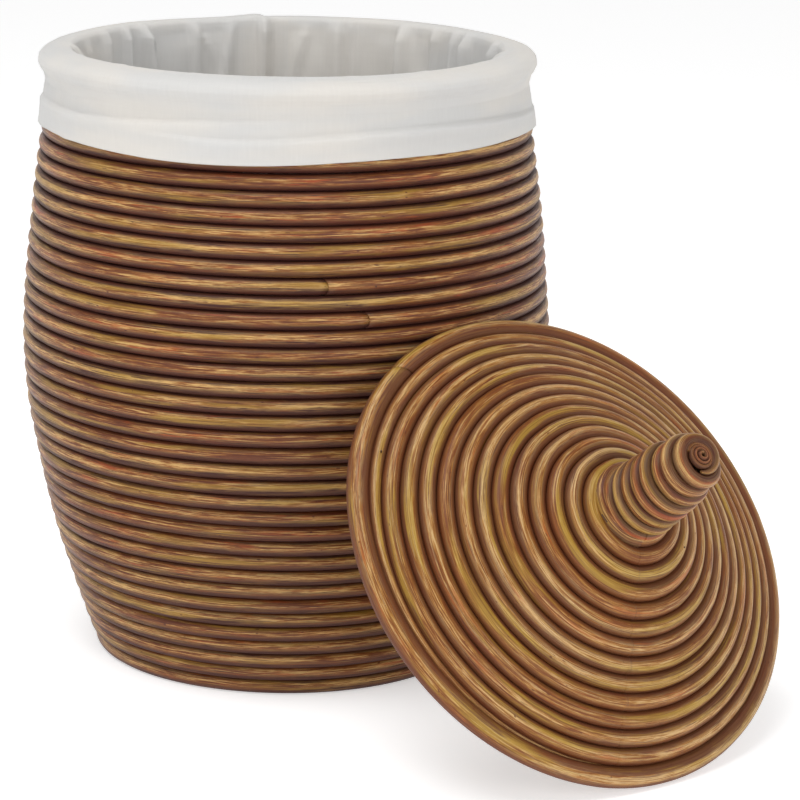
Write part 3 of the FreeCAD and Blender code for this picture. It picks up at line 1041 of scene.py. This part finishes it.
def gatherDepth(run, turn):
    # gathers where the bag narrows to its floor
    low = np.clip(1 - run / linerLook["gatherHeight"], 0, 1)
    uneven = 0.8 * np.sin(turn * 3) + 0.5 * np.sin(turn * 5 + 1)
    gather = np.abs(np.sin(turn * linerLook["gathers"] / 2 + uneven))
    return linerLook["gatherDepth"] * (1 - gather) ** 2 * low


def ridgeDepth(run, mouth, turn):
    # sharp little ridges run across the inside, where the cloth has been folded and packed
    spot = np.stack([np.cos(turn) * 0.18, np.sin(turn) * 0.18, run * 0.8], axis=1)
    ridges = np.clip(1 - np.abs(crumple(spot, 11, 8)) * 5, 0, 1) ** 2
    return linerLook["ridgeDepth"] * ridges * np.clip(1 - (run - mouth + 0.004) / 0.012, 0, 1)


def creased(reach, run, cuffTop, cuff, fromFront):
    # at a crease the cloth sinks to the wall, and comes out again sharply below it
    drop = (run - cuffTop) / cuff
    onCuff = np.clip((run - cuffTop) / 0.004, 0, 1)
    for crease, strength in ((upperCrease, upperDepth), (lowerCrease, lowerDepth)):
        away = (drop - softCurve(crease, fromFront)) * cuff
        deep = softCurve(strength, fromFront)
        valley = np.exp(-((away / np.where(away < 0, 0.010, 0.0028)) ** 2))
        lip = np.exp(-(((away - 0.003) / np.where(away < 0.003, 0.0016, 0.012)) ** 2))
        ledge = np.clip(away / 0.0018 + 0.5, 0, 1)
        reach = reach - 0.0008 * deep * valley * onCuff + deep * (0.0036 * lip + 0.0014 * ledge) * onCuff
    return reach


def wrinkles(run, mouth, turn):
    # small wrinkles, finer on the cuff, which only press in inside the bag
    spot = np.stack([np.cos(turn) * 0.2, np.sin(turn) * 0.2, run * 0.55], axis=1)
    inside = run < mouth
    size = np.where(inside, 0.0034, 0.0016) * crumple(spot, 22, 1)
    size = size + np.where(inside, 0.0012, 0.0009) * crumple(spot, 60, 2)
    size = np.where(inside, np.minimum(size, 0.0001), np.maximum(size, -0.0003))
    return size * np.clip(np.abs(run - mouth) / 0.014, 0, 1)


def layBag(across, down):
    profile, rollStart, rollEnd = bagProfile()
    profile = np.array(profile)
    runs = np.concatenate([[0], np.cumsum(np.hypot(*np.diff(profile, axis=0).T))])
    mouth, cuffTop, total = runs[rollStart], runs[rollEnd], runs[-1]
    cuff = total - cuffTop
    run = np.interp(down, [0, linerLook["insideRows"], 1], [0, mouth - linerLook["insideShort"], total])
    snug = np.interp(run, runs, profile[:, 0])
    height = np.interp(run, runs, profile[:, 1])
    angle = (across * 360 + 90) % 360
    turn = np.radians(angle)
    fromBack = degreesFrom(90, angle)
    fromFront = degreesFrom(angle, -90)
    outward = np.stack([np.cos(turn), np.sin(turn), np.zeros_like(turn)], axis=1)

    # the roll stands out unevenly, and a fold at the back lies over it and stops short at one side
    middle = (mouth + cuffTop) / 2
    onRoll = np.exp(-(((run - middle) / linerLook["rollReach"]) ** 2))
    bulge = linerLook["rollBulge"] * wander(turn, 0, 51, 9)
    past = fromBack - linerLook["lumpAt"]
    lump = np.exp(-((past / np.where(past < 0, *linerLook["lumpEnds"])) ** 2))
    reach = creased(snug, run, cuffTop, cuff, fromFront)
    reach = reach + bulge * onRoll * np.where(run < middle, -1.0, 1.0) * 0.6
    height = height + (bulge * 0.7 + linerLook["rollLump"] * lump) * onRoll

    # the splints leave no room outside the cloth near the mouth
    inward = mouthFoldDepth(run, mouth, fromBack) + gatherDepth(run, turn) + ridgeDepth(run, mouth, turn)
    inward = np.where(run > mouth * 0.8, np.maximum(inward, 0), inward)
    reach = np.where(run < mouth + 0.004, np.minimum(reach, snug), reach) - inward

    # the hem is drawn up unevenly
    hem = np.clip((run - cuffTop) / cuff, 0, 1)
    drawn = 0.001 * softCurve(hemRise, fromFront) * hem
    reach = reach + wrinkles(run, mouth, turn) - 0.15 * drawn
    height = height + 0.0016 * wander(turn, 0, 52, 6) * hem + drawn
    points = outward * reach[:, None]
    points[:, 2] = height
    return points


bag = clothSheet("liner_bag", linerLook["around"], linerLook["down"])
layCloth(bag, layBag, linerLook["cutWidth"], linerLook["cutLength"])
thicken(bag, linerLook["thick"])
finishPiece(bag, "liner", cotton, "cotton", "liner_side", "liner_fold", "liner_cuff")


bagBottomLook = {"across": 160, "down": 34, "inset": 0.003, "sunk": 0.0004, "lift": 0.0008, "crumple": 0.0012}


def layBottom(across, down):
    # rows of the grid become rings, the first of them tiny
    turn = across * fullTurn
    reach = np.maximum(down, 0.004) * (bagFoot - bagBottomLook["inset"])
    level = np.full_like(turn, bagFloor - bagBottomLook["sunk"])
    points = np.stack([reach * np.cos(turn), reach * np.sin(turn), level], axis=1)
    points[:, 2] += bagBottomLook["lift"] + bagBottomLook["crumple"] * crumple(points, 26, 5) * (1 - down**6)
    return points


bagBottom = clothSheet("liner_bottom", bagBottomLook["across"], bagBottomLook["down"])
layCloth(bagBottom, layBottom, fullTurn * bagFoot / 2, bagFoot)
thicken(bagBottom, linerLook["thick"])
finishPiece(bagBottom, "liner", cotton, "cotton", "liner_base")
print("liner laid")


# CAD pieces that keep their shape
for name, finish in (
    ("wall_stays", uprightSplint), ("lid_ribs", uprightSplint), ("finial_core", timber),
    ("base_batten_lower", timber), ("base_batten_upper", timber),
):
    paintPiece(frame["nodes"][name], finish)
print("CAD pieces kept")


stageLook = {
    "size": 14.0,
    "place": (0, 2, 0),
    "colour": paint(248, 248, 248),
    "glow": 0.5,
    "horizon": 1.0,      # the room's light level with the ground, and overhead
    "overhead": 0.3,
    "dimmed": (0.25, 0.75),
    "softBoxes": [   # name, place, aim, width and height, power
        ("overhead", (-0.5, -0.7, 2.6), (0.05, -0.1, 0.2), (1.8, 1.8), 40),
        ("front", (1.5, -2.8, 1.3), (0.1, 0, 0.25), (1.2, 1.2), 16),
    ],
}


def makeStage():
    bpy.ops.object.select_all(action="DESELECT")
    bpy.ops.mesh.primitive_plane_add(size=stageLook["size"], location=stageLook["place"])
    floor = bpy.context.object
    floor.name = "studio_floor"
    floor.data.materials.append(newFinish("studio_floor").surface(
        Base_Color=stageLook["colour"], Roughness=0.9, Specular_IOR_Level=0.1,
        Emission_Color=stageLook["colour"], Emission_Strength=stageLook["glow"],
    ))


def softBox(name, place, aim, size, power):
    light = bpy.data.lights.new(name, "AREA")
    light.shape = "RECTANGLE"
    light.size, light.size_y = size
    light.energy = power
    lamp = bpy.data.objects.new(name, light)
    bpy.context.collection.objects.link(lamp)
    lamp.location = place
    lamp.rotation_euler = (Vector(aim) - Vector(place)).to_track_quat("-Z", "Y").to_euler()


cameraSpot = {
    "place": (0.0, -2.6515, 0.8809),
    "pitch": math.radians(-14.16),
    "yaw": math.radians(2.12),
    "roll": math.radians(0.786),
    "lens": 142.4,
}


def makeCamera():
    pitch, yaw, roll = cameraSpot["pitch"], cameraSpot["yaw"], cameraSpot["roll"]
    ahead = Vector((math.sin(yaw) * math.cos(pitch), math.cos(yaw) * math.cos(pitch), math.sin(pitch)))
    level = Vector((math.cos(yaw), -math.sin(yaw), 0))
    above = level.cross(ahead)
    right = level * math.cos(roll) + above * math.sin(roll)
    top = above * math.cos(roll) - level * math.sin(roll)
    data = bpy.data.cameras.new("camera")
    data.lens = cameraSpot["lens"]
    data.sensor_width = 36
    camera = bpy.data.objects.new("camera", data)
    bpy.context.collection.objects.link(camera)
    turned = Matrix((right, top, -ahead)).transposed().to_4x4()
    turned.translation = cameraSpot["place"]
    camera.matrix_world = turned
    bpy.context.scene.camera = camera


def makeRoom():
    # a white room, bright round the sides and dimmer overhead
    world = bpy.data.worlds.new("studio")
    room = Finish(world)
    height = room.split(room.add("ShaderNodeTexCoord"))[2]
    low, high = stageLook["dimmed"]
    strength = room.add("ShaderNodeMapRange", None, {
        "Value": height, "From Min": low, "From Max": high,
        "To Min": stageLook["horizon"], "To Max": stageLook["overhead"],
    })
    sky = room.add("ShaderNodeBackground", None, {"Color": (1, 1, 1, 1), "Strength": strength})
    room.add("ShaderNodeOutputWorld", None, {"Surface": sky})
    bpy.context.scene.world = world
    bpy.context.scene.view_settings.view_transform = "Standard"
    for light in stageLook["softBoxes"]:
        softBox(*light)


makeStage()
makeRoom()
makeCamera()
print("stage set")
